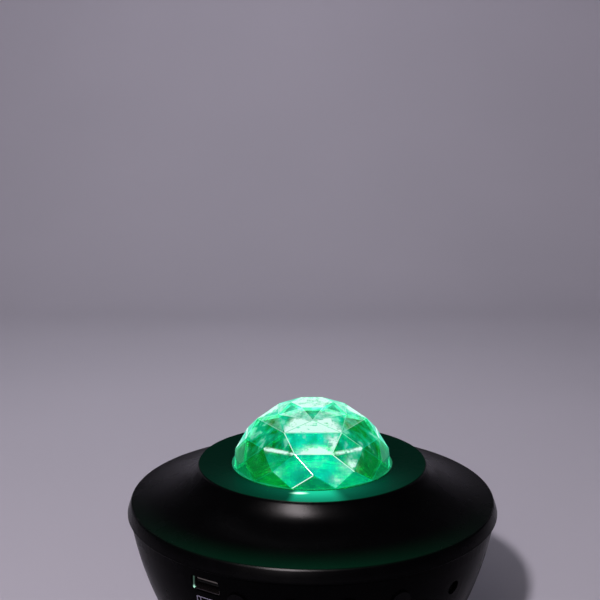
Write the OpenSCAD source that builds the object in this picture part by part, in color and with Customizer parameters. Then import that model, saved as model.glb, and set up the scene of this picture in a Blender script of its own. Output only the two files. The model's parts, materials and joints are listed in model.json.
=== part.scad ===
// Star night light projector: a bowl-shaped housing with a faceted clear dome on top.
// Lamps and a laser shine up through a ripple lens that a small motor turns slowly.
// Millimetres, +Z up, origin at the centre of the footprint, front towards -Y.
// A bearing is an angle round from the front, positive to the right as seen from there.

/* [Housing] */
// Height of the collar round the dome, above the table
collar_z = 93; // [85:1:110]
// Width of the collar, from the dome out to its edge
collar_w = 15; // [14:0.5:19]
// How far the collar dips from its edge to the dome
collar_dip = 1; // [0:0.1:1.5]
// Widest radius of the housing, at the foot of the cover's rim
rim_r = 82.5; // [78:0.5:95]
// Height of the rim band at the cover's edge
rim_band = 5.7; // [4.5:0.1:8]
// Height of the collar above the foot of the rim
cover_rise = 20.5; // [19:0.5:24]
// Wall thickness of the bowl and the cover
wall = 2.4; // [1.8:0.1:3]
// Step from the rim in to the bowl
bowl_step = 1.1; // [0.6:0.1:2.5]
// Lean of the bowl's side from the vertical at its top edge, in degrees
bowl_lean = 8.35; // [5:0.05:12]
// Radius of the bowl at its foot
base_r = 51.5; // [46:0.5:58]

/* [Dome] */
// Radius of the dome's round base
dome_r = 36; // [33:0.5:39]
// Height of the dome above the collar
dome_rise = 26.6; // [20:0.2:33]
// Wall thickness of the dome
dome_wall = 2.4; // [1.6:0.1:4]
// Turn of the facet pattern about the axis, in degrees
facet_turn = 1; // [0:1:29]

/* [Lamps] */
// Radius of the round opening that the lamps shine up through
lamp_r = 21; // [20:0.5:22]
// Number of lamps round the laser
lamp_count = 8; // [6:1:8]
// Radius of the post that the lens turns on
tower_r = 8; // [7.2:0.1:8.6]
// Radius of the laser's barrel
barrel_r = 6; // [4.5:0.1:6.5]
// Length of the laser's barrel
barrel_l = 28; // [22:1:36]
// Height of the heat sink's fins
fin_h = 9; // [5:0.5:16]

/* [Drive] */
// Module of the ring gear and the idler's small gear
slow_module = 0.8; // [0.75:0.05:0.95]
// Teeth on the ring gear
ring_teeth = 72; // [69:1:84]
// Teeth on the idler's small gear
idler_small_teeth = 13; // [12:1:18]
// Module of the idler's large gear and the motor pinion
fast_module = 0.5; // [0.45:0.05:0.6]
// Teeth on the idler's large gear
idler_large_teeth = 33; // [28:1:38]
// Teeth on the motor pinion
pinion_teeth = 12; // [11:1:15]
// Play left between meshing teeth, along the pitch circle
backlash = 0.2; // [0.15:0.01:0.3]
// Width of the ring gear
gear_w = 4; // [3:0.1:5]
// Radius of the motor
motor_r = 10; // [9:0.5:12]
// Length of the motor
motor_l = 17; // [15:0.5:25]

/* [Sockets and buttons] */
// Bearing of the memory stick's socket, in degrees
usb_bearing = -31.3; // [-38:0.1:-31]
// Height of the rim's foot above the centre of the memory stick's socket
usb_drop = 7; // [6.2:0.1:8.5]
// Bearing of the power socket, in degrees
dc_bearing = 46.4; // [45:0.1:52]
// Height of the rim's foot above the centre of the power socket
dc_drop = 14.4; // [12:0.1:24]
// Radius of the power socket's body
dc_body_r = 4.4; // [4:0.1:5]
// Bearing of the leftmost button, in degrees
button_bearing = -21.1; // [-21.1:0.1:-18]
// Bearing between neighbouring buttons, in degrees
button_step = 15.5; // [14:0.1:16]
// Height of the rim's foot above the buttons' centres
button_drop = 11.3; // [8:0.1:11.5]
// Radius of a button
button_r = 4.2; // [3.6:0.1:5]
// How far a button stands proud of the bowl
button_proud = 0.9; // [0.4:0.1:2]
// Travel of a button
button_travel = 0.5; // [0.2:0.05:0.8]
// Gap round a button in its hole
button_gap = 0.2; // [0.15:0.05:0.4]

/* [Speaker and base] */
// Radius of the speaker's frame
speaker_r = 26; // [22:0.5:29]
// Depth of the speaker's frame
speaker_d = 10; // [8:0.5:16]
// Radius of the speaker's magnet
magnet_r = 14; // [12:0.5:16]
// Travel of the cone each way from rest
cone_travel = 0.8; // [0.3:0.1:1.2]
// Thickness of the base plate
plate_t = 2.6; // [2.2:0.1:3.5]
// Radius of a rubber foot
foot_r = 6; // [4:0.5:7]
// Height that the feet lift the base plate
foot_lift = 1.6; // [1:0.1:4]

/* [Hidden] */
$fn = 96;

touch = 0.01;     // overlap that keeps the joined solids of one piece whole
fit = 0.1;        // loose fit between fixed pieces
running = 0.04;   // radial clearance of a shaft in its bush
clear = 0.3;      // gap between a moving piece and what it passes or stops at

// ---- screws: shank, the pilot hole it bites in, the hole it passes, and the boss round them
shank_r = 1.15;
pilot_r = shank_r + 0.05;
pass_r = shank_r + 0.25;
boss_r = 2.9;
small_shank_r = 0.8;
small_pilot_r = small_shank_r + 0.05;
head_share = 1.9;   // radius of a screw's head as a multiple of its shank's
head_h_share = 1.3; // height of a screw's head, likewise
bite = 5.5;         // length of a screw's thread in its boss
pilot_depth = bite + 1.5;

// ---- cover levels and radii
collar_r = dome_r + collar_w;
collar_foot_z = collar_z - collar_dip;
rim_foot_z = collar_z - cover_rise;
rim_top_z = rim_foot_z + rim_band;
rim_lean = 1.4;               // how far the rim band leans out towards its foot
rim_top_r = rim_r - rim_lean;
rim_fillet = 1;
foot_fillet = 0.6;
collar_edge = 0.3;
collar_drop = 0.7;            // upright edge of the collar, above the slope
cover_under_z = collar_foot_z - wall;
dome_hole_r = dome_r + clear;

// Points on an arc of radius r about c, from angle a0 to a1 in n steps; skip leaves out the first ones
function arc(c, r, a0, a1, n, skip = 0) =
  [for (i = [skip:n]) let (a = a0 + (a1 - a0) * i / n) c + r * [cos(a), sin(a)]];

// The cover's hollow slope is two arcs that run on from each other: tight and steep, then wide and flat.
steep_deg = 68;
mid_deg = 30;
flat_deg = 4;
slope_dr = rim_top_r - rim_fillet / 2 - collar_r;
slope_dz = collar_z - collar_drop - rim_top_z;
tight_dr = sin(steep_deg) - sin(mid_deg);
tight_dz = cos(mid_deg) - cos(steep_deg);
wide_dr = sin(mid_deg) - sin(flat_deg);
wide_dz = cos(flat_deg) - cos(mid_deg);
tight_r = (slope_dz * wide_dr - slope_dr * wide_dz) / (tight_dz * wide_dr - tight_dr * wide_dz);
wide_r = (slope_dr - tight_r * tight_dr) / wide_dr;
tight_c = [collar_r, collar_z - collar_drop] + tight_r * [sin(steep_deg), cos(steep_deg)];
wide_c = tight_c + (wide_r - tight_r) * [sin(mid_deg), cos(mid_deg)];

// ---- bowl: its side is one arc, from the step under the rim down to the foot
bowl_top_r = rim_r - bowl_step;
base_z = foot_lift;
foot_up = 1.2;                // height of the rounding at the bowl's foot
side_dr = bowl_top_r - base_r;
side_dz = rim_foot_z - base_z - foot_up;
side_turn = 2 * (atan(side_dr / side_dz) - bowl_lean);
side_r = norm([side_dr, side_dz]) / (2 * sin(side_turn / 2));
side_c = [bowl_top_r, rim_foot_z] - side_r * [cos(bowl_lean), -sin(bowl_lean)];
foot_lean = bowl_lean + side_turn;
base_fillet = foot_up / (1 - sin(foot_lean));
base_flat_r = base_r - base_fillet * cos(foot_lean);
function bowl_r_at(z, out = 0) = side_c[0] + sqrt(pow(side_r + out, 2) - pow(z - side_c[1], 2));
// Distance out to the bowl's inner face, beside a flat disc of radius r centred at height z
function inside_r(z, r) = sqrt(pow(bowl_r_at(z - r, -wall), 2) - r * r);

lip_t = 1.3;                  // thickness of the bowl's lip inside the rim
lip_shift = 0.7;              // how far the lip stands in from the bowl's inner face
lip_r = bowl_top_r - wall + lip_t - lip_shift;
lip_h = rim_band - wall - 0.7;
skirt_r = lip_r + fit;        // inner face of the rim, round the lip

// ---- base
plate_r = base_r - 4.6;
plate_top_z = base_z + plate_t;
ledge_r = plate_r - 4.4;      // inner edge of the bowl's ledge, which the plate lies under
ledge_t = 2.2;
base_screw_bearings = [45, 135, -135, -45];
base_screw_r = plate_r - 2.8;
foot_bearings = [0, 90, 180, 270];
foot_ring_r = plate_r - foot_r - 2.4;
foot_sink = 1;                // depth of a foot's recess in the plate
head_sink = shank_r * head_h_share;
speaker_bite = 1.6;           // length of a speaker screw's thread in the plate
grille_hole_r = 1.5;
grille_pitch = 4.6;

// ---- dome facets: rings of corners on a nearly round cap, out from the axis and up
dome_base_z = collar_foot_z + 0.2;
dome_top_z = collar_z + dome_rise;
cap_h = dome_top_z - dome_base_z;
foot_ring = [dome_r - 0.3, dome_base_z];
shoulder_ring = [0.84 * dome_r, dome_base_z + 0.482 * cap_h];
upper_ring = [0.678 * dome_r, dome_base_z + 0.73 * cap_h];
crown_ring = [0.478 * dome_r, dome_base_z + 0.89 * cap_h];
table_ring = [0.264 * dome_r, dome_top_z];
// The kites' side corners lie in the kites' own planes, so that each kite is flat
half_step = 15;
side_share = 0.44;
side_ring = [
  (foot_ring[0] + side_share * (shoulder_ring[0] - foot_ring[0])) / cos(half_step),
  foot_ring[1] + side_share * (shoulder_ring[1] - foot_ring[1])
];
// The inner surface is the outer one scaled towards the cap's centre, which leaves an even wall
cap_r = (pow(foot_ring[0], 2) + pow(cap_h, 2)) / (2 * cap_h);
cap_c = dome_top_z - cap_r;
inner_share = (cap_r - dome_wall) / cap_r;
dome_bore_r = foot_ring[0] * inner_share + fit;
flange_w = 4;
flange_t = 1.8;
flange_z = cover_under_z - flange_t;

// ---- clamp and decks, from the cover down
clamp_t = 2.4;
clamp_z = flange_z - clamp_t;
clamp_r = collar_r - 3;
clamp_screw_r = collar_r - 6.5;
clamp_bearings = [40, 140, -140, -40];
clamp_bite = 0.6;             // how far a clamp screw goes on into the cover, above its short boss
shield_t = 1.2;
shield_z = clamp_z - shield_t;
ring_top_z = shield_z - 1;
ring_z = ring_top_z - gear_w;
fast_w = 2.2;
fast_z = ring_z - 0.8 - fast_w;
tray_top_z = fast_z - 0.6;
tray_t = 2.6;
tray_z = tray_top_z - tray_t;
tray_post_r = collar_r + 2;
tray_bearings = clamp_bearings;
post_bearings = [62, 118, -118, -62];
post_r = rim_r - 16.5;        // ring of the screws that join cover and bowl
split_z = rim_foot_z - 6.5;   // where the bowl's bosses meet the cover's posts
bowl_boss_h = 9;

// ---- ribs that stiffen the mouldings
rib_t = 1.4;
cover_rib_bearings = concat(post_bearings, [-150, -90, -30, 0, 30, 90, 150, 180]);
cover_rib_z = rim_foot_z + 1.5;
tray_rib_bearings = [-155, -120, -95, -52, -20, 20, 52, 95, 120];
tray_rib_h = 3;
gusset_bearings = [for (i = [0:7]) 22.5 + i * 45];
gusset_h = 10;
spigot_r = ledge_r - clear;   // ring on the base plate that centres it in the bowl's ledge
spigot_h = 2;

// ---- gear train
pressure_deg = 20;
ring_pitch_r = slow_module * ring_teeth / 2;
idler_reach = slow_module * (ring_teeth + idler_small_teeth) / 2;
motor_reach = fast_module * (idler_large_teeth + pinion_teeth) / 2;
idler_dir = 90;               // direction of the idler from the dome's axis
motor_dir = 28;               // direction of the motor from the idler
idler_xy = idler_reach * [cos(idler_dir), sin(idler_dir)];
motor_xy = idler_xy + motor_reach * [cos(motor_dir), sin(motor_dir)];
// Turn that puts a gear with t2 teeth in mesh, in direction dir from one with t1 teeth turned by turn1
function mesh_turn(dir, t1, turn1, t2) = dir + 180 - 180 / t2 + (dir - turn1) * t1 / t2;
idler_turn = mesh_turn(idler_dir, ring_teeth, 0, idler_small_teeth);
pinion_turn = mesh_turn(motor_dir, idler_large_teeth, idler_turn, pinion_teeth);
pin_r = 1;
shaft_r = 1;
tray_r = max(tray_post_r + 5, norm(motor_xy) + motor_r + 1);

// ---- motor
motor_z = tray_z - motor_l;
bush_r = 3;
can_t = 0.8;                  // wall of the can
can_front_t = 1;
motor_screw_r = 0.6 * motor_r;
magnet_t = 1.5;
core_r = motor_r - can_t - magnet_t - 0.5;
core_z = motor_z + 5.5;
core_h = motor_l - 10;
end_cap_t = 2.4;
end_boss_h = 1.6;

// ---- lens, tower and lamps
lens_r = ring_pitch_r - 2.7;
lens_seat = 1.5;              // width of the ring gear's ledge under the lens
lens_z = ring_z + 1;
lens_t = 2.2;
hub_w = 2.4;
washer_t = 0.5;
shoulder_w = 2;
shoulder_z = ring_z - clear - washer_t;
tower_top_z = ring_top_z + clear;
barrel_top_z = tower_top_z - 0.5;
nose_d = 5;                   // depth of the bore in the barrel's nose
nose_r = barrel_r - 2.4;
cap_t = 2;
grating_t = 0.6;
grating_r = barrel_r + 0.9;
sink_t = 2.4;
sink_r = lamp_r + 5.5;
sink_screw_r = lamp_r + 2.9;
sink_bearings = [20, 110, -160, -70];
led_board_t = 1.6;
led_board_r = lamp_r - 0.4;
led_top_z = tray_z + led_board_t;
led_ring_r = (led_board_r + tower_r + shoulder_w) / 2;
led_w = 3.5;
led_h = 0.8;
led_lens_r = 1.5;
cup_top_r = (led_board_r - tower_r - shoulder_w) / 2 - 0.9;
cup_foot_r = led_w * 0.75;
reflector_top_z = ring_z - 0.6;

// ---- board, sockets and buttons
board_t = 1.6;
usb_w = 12.9;
usb_h = 5.4;
usb_l = 14;
usb_metal = 0.3;
usb_z = rim_foot_z - usb_drop;
usb_front_r = bowl_r_at(usb_z) - 1;
port_margin = 0.5;            // opening of the bowl round the socket, at its top and foot
port_side = 0.25;
port_corner = 1.1;
tongue_back = 3.4;            // depth of the block behind the tongue
tongue_l = 9;
tongue_t = 1.8;
tongue_rise = 0.6;
contact_t = 0.3;
board_top_z = usb_z - usb_h / 2;
board_z = board_top_z - board_t;
button_z = rim_foot_z - button_drop;
button_bearings = [for (i = [0:3]) button_bearing + i * button_step];
button_flange_r = button_r + 1.2;
button_flange_t = 1;
flange_front_r = inside_r(button_z, button_flange_r) - clear;
flange_back_r = flange_front_r - button_flange_t;
stem_l = 1.6;
stem_r = 1.5;
plunger_r = 1.2;
plunger_in = 1;               // length of the plunger inside its switch
plunger_z = board_top_z + 2;
plunger_out = button_travel + clear;
switch_front_r = flange_back_r - stem_l - plunger_out;
switch_w = 6;
switch_d = 4.4;
switch_h = 4.2;
board_out_r = flange_back_r - button_travel - 1;
board_w = 27;
board_screw_r = board_out_r - 6.5;
board_from = usb_bearing - 14.7;
board_to = button_bearings[3] + 11.6;
board_screw_bearings = [board_from + 3.5, (button_bearings[0] + button_bearings[1]) / 2, board_to - 3.5];
dc_z = rim_foot_z - dc_drop;
dc_hole_r = 3;
dc_bore_r = 2.75;
dc_l = 13;
dc_back_t = 2.5;
dc_pin_r = 1;
dc_skin = 1.4;                // wall left in front of the power socket's body
dc_front_r = bowl_r_at(dc_z - dc_body_r - fit) - dc_skin;
cradle_t = 1.5;
cradle_l = 9;

// ---- speaker, from its flange on the base plate upwards
speaker_hole_r = speaker_r - 5.3;
speaker_flange_t = 1.4;
basket_t = 1;
cone_t = 0.7;
cone_r = speaker_hole_r - 1.9;
cone_z = plate_top_z + speaker_flange_t;
coil_r = 7;
coil_t = 0.5;
coil_gap = 0.5;
surround_t = 0.5;
magnet_plate_t = 1.6;
magnet_h = 6;
basket_top_z = plate_top_z + speaker_d;
cone_neck_z = basket_top_z - magnet_plate_t - cone_travel - 1;
cone_lift = 0.5;              // height of the cone's edge above the frame's flange
speaker_screw_r = speaker_r - 1.7;

// Puts children at a bearing: there local -Y points out from the axis
module at(bearing, radius, z) {
  rotate([0, 0, bearing]) translate([0, -radius, z]) children();
}

// Turns a child that rises along +Z so that it points out along local -Y
module outward() {
  rotate([90, 0, 0]) children();
}

module at_idler(z) {
  translate([idler_xy[0], idler_xy[1], z]) children();
}

// On the motor's axis, turned so that +X points away from the idler
module at_motor(z) {
  translate([motor_xy[0], motor_xy[1], z]) rotate([0, 0, motor_dir]) children();
}

// Round rod, boss or hole of a small size
module rod(h, r) {
  cylinder(h = h, r = r, $fn = 32);
}

module ring(r_out, r_in, z, h) {
  translate([0, 0, z]) difference() {
    cylinder(h = h, r = r_out);
    translate([0, 0, -1]) cylinder(h = h + 2, r = r_in);
  }
}

// Rectangle with round corners, centred
module round_rect(w, h, r) {
  square([w - 2 * r, h], center = true);
  square([w, h - 2 * r], center = true);
  for (x = [-1, 1], y = [-1, 1]) translate([x * (w / 2 - r), y * (h / 2 - r)]) circle(r, $fn = 32);
}

module slab(w, d, h) {
  translate([-w / 2, -d / 2, 0]) cube([w, d, h]);
}

// Pan-head screw with a cross recess. Its head hangs below the origin and its shank rises from it.
module screw(length, r = shank_r) {
  head_r = r * head_share;
  head_h = r * head_h_share;
  slot_w = r * 0.4;
  slot_l = r * 2.4;
  slot_d = head_h * 0.55;
  difference() {
    translate([0, 0, -head_h]) rod(head_h, head_r);
    for (a = [0, 90]) rotate([0, 0, a]) translate([0, 0, -head_h - 1]) slab(slot_l, slot_w, 1 + slot_d);
  }
  translate([0, 0, -touch]) rod(length + touch, r);
}

// ---- gears

function inv(a) = tan(a) * 180 / PI - a;
// Half the angle that a tooth spans at radius r, from half its angle at the pitch circle
function tooth_half(r, rp, rb, half) = half + inv(pressure_deg) - inv(acos(min(1, rb / r)));
// Involute gear outline with a tooth centred on the +X axis
function gear_outline(m, teeth) =
  let (
    rp = m * teeth / 2,
    rb = rp * cos(pressure_deg),
    root = rp - 1.25 * m,
    tip = rp + 0.85 * m,
    start = max(rb, root + 0.04 * m),
    half = (PI * m - backlash) / 4 / rp * 180 / PI,
    steps = 3,
    radii = [for (i = [0:steps]) start + (tip - start) * i / steps],
    halves = [for (r = radii) tooth_half(r, rp, rb, half)],
    up = [for (i = [0:steps]) [radii[i], -halves[i]]],
    down = [for (i = [steps:-1:0]) [radii[i], halves[i]]],
    tooth = concat([[root, -halves[0]]], up, down, [[root, halves[0]]])
  )
  [for (k = [0:teeth - 1]) for (p = tooth) let (a = k * 360 / teeth + p[1]) p[0] * [cos(a), sin(a)]];

module gear(m, teeth, h, turn = 0) {
  rotate([0, 0, turn]) linear_extrude(h) polygon(gear_outline(m, teeth));
}

// ---- dome

// Corners of one ring of the dome: n of them, the first at bearing first before the pattern's own turn
function corners(n, first, p) =
  [for (k = [0:n - 1]) let (b = first + facet_turn + k * 360 / n) [p[0] * sin(b), -p[0] * cos(b), p[1]]];

// The dome's outer form: triangles and kites below, then trapezoids, triangles and a flat table
module facet_body() {
  side = 12;
  shoulder = 24;
  upper = 36;
  crown = 42;
  table = 48;
  points = concat(
    corners(12, half_step, foot_ring),
    corners(12, 0, side_ring),
    corners(12, half_step, shoulder_ring),
    corners(6, 2 * half_step, upper_ring),
    corners(6, 0, crown_ring),
    corners(6, 2 * half_step, table_ring)
  );
  lower_faces = [
    for (k = [0:11]) let (n = (k + 1) % 12) each [
      [k, side + n, n],
      [k, side + k, shoulder + k, side + n],
      [side + n, shoulder + k, shoulder + n]
    ]
  ];
  upper_faces = [
    for (j = [0:5]) let (b = (j + 5) % 6, n = (j + 1) % 6) each [
      [shoulder + (2 * j + 11) % 12, upper + b, upper + j, shoulder + 2 * j],
      [shoulder + 2 * j, upper + j, shoulder + 2 * j + 1],
      [upper + b, crown + j, upper + j],
      [upper + j, crown + j, crown + n],
      [crown + j, table + j, crown + n],
      [crown + j, table + b, table + j]
    ]
  ];
  foot_face = [for (k = [0:11]) k];
  table_face = [for (j = [5:-1:0]) table + j];
  polyhedron(points = points, faces = concat([foot_face], lower_faces, upper_faces, [table_face]));
}

module crystal_dome() {
  bore_top_z = cap_c + (dome_base_z - cap_c) * inner_share;
  color([0.35, 0.95, 0.7, 0.5]) difference() {
    union() {
      facet_body();
      translate([0, 0, flange_z]) cylinder(h = dome_base_z - flange_z + touch, r = dome_r);
      translate([0, 0, flange_z]) cylinder(h = flange_t, r = dome_r + flange_w);
    }
    translate([0, 0, cap_c]) scale(inner_share) translate([0, 0, -cap_c]) facet_body();
    translate([0, 0, flange_z - 1]) cylinder(h = bore_top_z + touch - flange_z + 1, r = dome_bore_r);
  }
}

// ---- housing shells

cover_top = concat(
  [[dome_hole_r, collar_foot_z], [collar_r - collar_edge, collar_z], [collar_r, collar_z - collar_edge]],
  arc(tight_c, tight_r, 270 - steep_deg, 270 - mid_deg, 12),
  arc(wide_c, wide_r, 270 - mid_deg, 270 - flat_deg, 10, 1),
  arc([rim_top_r - rim_fillet, rim_top_z - rim_fillet], rim_fillet, 60, 10, 3),
  arc([rim_r - foot_fillet, rim_foot_z + foot_fillet], foot_fillet, 10, -90, 4)
);

// Everything under the cover's top surface, down to its foot
module under_cover() {
  rotate_extrude() polygon(concat([[0, rim_foot_z], [0, collar_foot_z]], cover_top));
}

module top_cover() {
  under_deg = 180 + asin((tight_c[1] - cover_under_z) / (tight_r + wall));
  rim_under_deg = 180 + acos((wide_c[0] - skirt_r + 1) / (wide_r + wall));
  under = concat(
    [[skirt_r, rim_foot_z], [skirt_r, rim_foot_z + lip_h + 0.4]],
    arc(wide_c, wide_r + wall, rim_under_deg, 270 - mid_deg, 7),
    arc(tight_c, tight_r + wall, 270 - mid_deg, under_deg, 6, 1),
    [[dome_hole_r, cover_under_z]]
  );
  clamp_pilot = flange_t + clamp_bite + 0.4;
  color([0.03, 0.03, 0.035]) difference() {
    union() {
      rotate_extrude() polygon(concat(cover_top, under));
      for (b = clamp_bearings) at(b, clamp_screw_r, flange_z) rod(flange_t + touch, boss_r);
      intersection() {
        union() {
          for (b = tray_bearings) at(b, tray_post_r, tray_top_z) rod(collar_z - tray_top_z, boss_r);
          for (b = post_bearings) at(b, post_r, rim_foot_z) rod(collar_z - rim_foot_z, boss_r);
          for (b = cover_rib_bearings) at(b, (tray_r + lip_r - lip_t) / 2, cover_rib_z)
            slab(rib_t, lip_r - lip_t - tray_r - 4 * clear, collar_z - cover_rib_z);
        }
        under_cover();
      }
      for (b = post_bearings) at(b, post_r, split_z) rod(rim_foot_z - split_z + touch, boss_r);
    }
    for (b = clamp_bearings) at(b, clamp_screw_r, flange_z - 1) rod(clamp_pilot + 1, pilot_r);
    for (b = tray_bearings) at(b, tray_post_r, tray_top_z - 1) rod(pilot_depth + 1, pilot_r);
    for (b = post_bearings) at(b, post_r, split_z - 1) rod(pilot_depth + 1, pilot_r);
  }
}

// Everything inside the bowl's side, moved out by the given distance
module within_bowl(out, z0) {
  steps = 12;
  side = [for (i = [0:steps]) let (z = z0 + (rim_foot_z - z0) * i / steps) [bowl_r_at(z, out), z]];
  rotate_extrude() polygon(concat([[0, z0]], side, [[0, rim_foot_z]]));
}

// Screw boss inside the bowl, with a rib that runs out to the wall. Its top is at the origin.
module wall_boss(h) {
  rib_l = post_r / 4;
  translate([0, 0, -h]) rod(h, boss_r);
  translate([0, -rib_l / 2, -h]) slab(rib_t, rib_l, h);
}

// Upright triangle between the bowl's ledge and its side
module gusset(bearing, z) {
  foot_r = ledge_r + 1;
  top_r = bowl_r_at(z + gusset_h);
  rotate([0, 0, bearing - 90]) rotate([90, 0, 0]) translate([0, 0, -rib_t / 2]) linear_extrude(rib_t)
    polygon([[foot_r, z], [top_r, z], [top_r, z + gusset_h], [foot_r, z + 1]]);
}

module bowl_housing() {
  floor_z = plate_top_z + ledge_t;
  lip_in_r = lip_r - lip_t;
  lip_foot_z = rim_foot_z - 2;
  through = 12;               // long enough for a hole to leave through the wall
  cradle_r = dc_body_r + cradle_t;
  side_in_deg = asin((side_c[1] - lip_foot_z) / (side_r - wall));
  floor_in_deg = asin((side_c[1] - floor_z) / (side_r - wall));
  outline = concat(
    arc(side_c, side_r, -bowl_lean, -foot_lean, 14),
    arc([base_flat_r, base_z + base_fillet], base_fillet, -foot_lean, -90, 4, 1),
    [[plate_r + fit, base_z], [plate_r + fit, plate_top_z], [ledge_r, plate_top_z], [ledge_r, floor_z]],
    arc(side_c, side_r - wall, -floor_in_deg, -side_in_deg, 12),
    [[lip_in_r, rim_foot_z], [lip_in_r, rim_foot_z + lip_h], [lip_r, rim_foot_z + lip_h], [lip_r, rim_foot_z]]
  );
  color([0.03, 0.03, 0.035]) difference() {
    union() {
      rotate_extrude() polygon(outline);
      intersection() {
        union() {
          for (b = post_bearings) at(b, post_r, split_z) wall_boss(bowl_boss_h);
          for (b = board_screw_bearings) at(b, board_screw_r, board_z) wall_boss(bowl_boss_h);
          at(dc_bearing, dc_front_r - cradle_l, dc_z) outward()
            cylinder(h = cradle_l + 2 * wall, r = cradle_r);
          for (b = gusset_bearings) gusset(b, floor_z - touch);
        }
        within_bowl(-wall / 2, plate_top_z);
      }
      for (b = base_screw_bearings) at(b, base_screw_r, plate_top_z) rod(pilot_depth, boss_r);
    }
    for (b = button_bearings)
      at(b, flange_front_r - 1, button_z) outward() cylinder(h = through, r = button_r + button_gap);
    at(usb_bearing, flange_front_r - 4, usb_z) outward() linear_extrude(through)
      round_rect(usb_w + 2 * port_side, usb_h + 2 * port_margin, port_corner);
    at(dc_bearing, dc_front_r - 1, dc_z) outward() cylinder(h = through, r = dc_hole_r);
    at(dc_bearing, dc_front_r - cradle_l - 1, dc_z) outward() cylinder(h = cradle_l + 1, r = dc_body_r + fit);
    for (b = post_bearings) at(b, post_r, split_z - bowl_boss_h - 1) rod(bowl_boss_h + 2, pass_r);
    for (b = board_screw_bearings) at(b, board_screw_r, board_z - pilot_depth) rod(pilot_depth + 1, pilot_r);
    for (b = base_screw_bearings) at(b, base_screw_r, plate_top_z - 1) rod(pilot_depth, pilot_r);
  }
}

module base_plate() {
  grille_rows = floor((speaker_hole_r - grille_hole_r) / grille_pitch);
  color([0.04, 0.04, 0.045]) difference() {
    union() {
      translate([0, 0, base_z]) cylinder(h = plate_t, r = plate_r);
      ring(spigot_r, spigot_r - rib_t, plate_top_z - touch, spigot_h);
    }
    translate([0, 0, base_z - 1]) rod(plate_t + 2, grille_hole_r);
    for (i = [1:grille_rows], k = [0:6 * i - 1]) rotate([0, 0, k * 60 / i])
      translate([i * grille_pitch, 0, base_z - 1]) rod(plate_t + 2, grille_hole_r);
    for (b = base_screw_bearings) at(b, base_screw_r, base_z - 1) {
      rod(plate_t + 2, pass_r);
      rod(1 + head_sink, shank_r * head_share + clear);
      translate([0, 0, 1 + plate_t]) rod(spigot_h + 1, boss_r + clear);
    }
    for (b = foot_bearings) at(b, foot_ring_r, base_z - 1) cylinder(h = 1 + foot_sink, r = foot_r + fit);
    for (b = base_screw_bearings) at(b, speaker_screw_r, plate_top_z - speaker_bite - 0.2)
      rod(speaker_bite + 1, small_pilot_r);
  }
}

module rubber_feet() {
  foot_t = foot_lift + foot_sink;
  color([0.09, 0.09, 0.09]) for (b = foot_bearings) at(b, foot_ring_r, 0) rotate_extrude($fn = 48)
    polygon([[0, 0], [foot_r - 0.8, 0], [foot_r - 0.2, 0.25], [foot_r, 0.8], [foot_r, foot_t], [0, foot_t]]);
}

module base_screws() {
  color([0.6, 0.6, 0.62]) for (b = base_screw_bearings)
    at(b, base_screw_r, base_z + head_sink) screw(plate_t - head_sink + bite);
}

module cover_screws() {
  color([0.6, 0.6, 0.62]) for (b = post_bearings)
    at(b, post_r, split_z - bowl_boss_h) screw(bowl_boss_h + bite);
}

// ---- clamp and tray

module dome_clamp() {
  color([0.75, 0.76, 0.78]) difference() {
    union() {
      ring(clamp_r, dome_bore_r, clamp_z, clamp_t);
      ring(dome_bore_r + 4, lens_r - 1, shield_z, shield_t + touch);
    }
    for (b = clamp_bearings) at(b, clamp_screw_r, clamp_z - 1) rod(clamp_t + 2, pass_r);
    at_idler(shield_z - 1) rod(1 + shield_t / 2, pin_r + fit);
  }
}

module clamp_screws() {
  color([0.6, 0.6, 0.62]) for (b = clamp_bearings)
    at(b, clamp_screw_r, clamp_z) screw(clamp_t + flange_t + clamp_bite);
}

module lamp_tray() {
  slot_bearings = [0, 70, -70];
  slot_r = (lamp_r + tray_post_r) / 2;
  rim_t = 1.4;
  rim_h = 2;
  color([0.8, 0.8, 0.78]) difference() {
    union() {
      translate([0, 0, tray_z]) cylinder(h = tray_t, r = tray_r);
      ring(tray_r, tray_r - rim_t, tray_top_z - touch, rim_h);
      at_idler(tray_top_z - touch) rod(clear, pin_r + 1.2);
      for (b = tray_rib_bearings) at(b, (sink_r + tray_r) / 2, tray_z - tray_rib_h)
        slab(rib_t, tray_r - sink_r - 2, tray_rib_h + touch);
    }
    translate([0, 0, tray_z - 1]) cylinder(h = tray_t + 2, r = lamp_r);
    for (b = tray_bearings) at(b, tray_post_r, tray_z - 1) rod(tray_t + 2, pass_r);
    for (b = sink_bearings) at(b, sink_screw_r, tray_z - 1) rod(tray_t + 2, pilot_r);
    for (b = post_bearings) at(b, post_r, tray_z - 1) rod(tray_t + rim_h + 2, boss_r + clear);
    for (b = slot_bearings) at(b, slot_r, tray_z - 1) linear_extrude(tray_t + 2) round_rect(16, 5, 2.4);
    at_idler(tray_z - 1) rod(tray_t + 2, pin_r);
    at_motor(tray_z - 1) {
      cylinder(h = tray_t + 2, r = bush_r + fit);
      for (s = [-1, 1]) translate([0, s * motor_screw_r, 0]) rod(tray_t + 2, small_shank_r + fit);
    }
  }
}

module tray_screws() {
  color([0.6, 0.6, 0.62]) for (b = tray_bearings) at(b, tray_post_r, tray_z) screw(tray_t + bite);
}

// ---- lamps and laser

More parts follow.
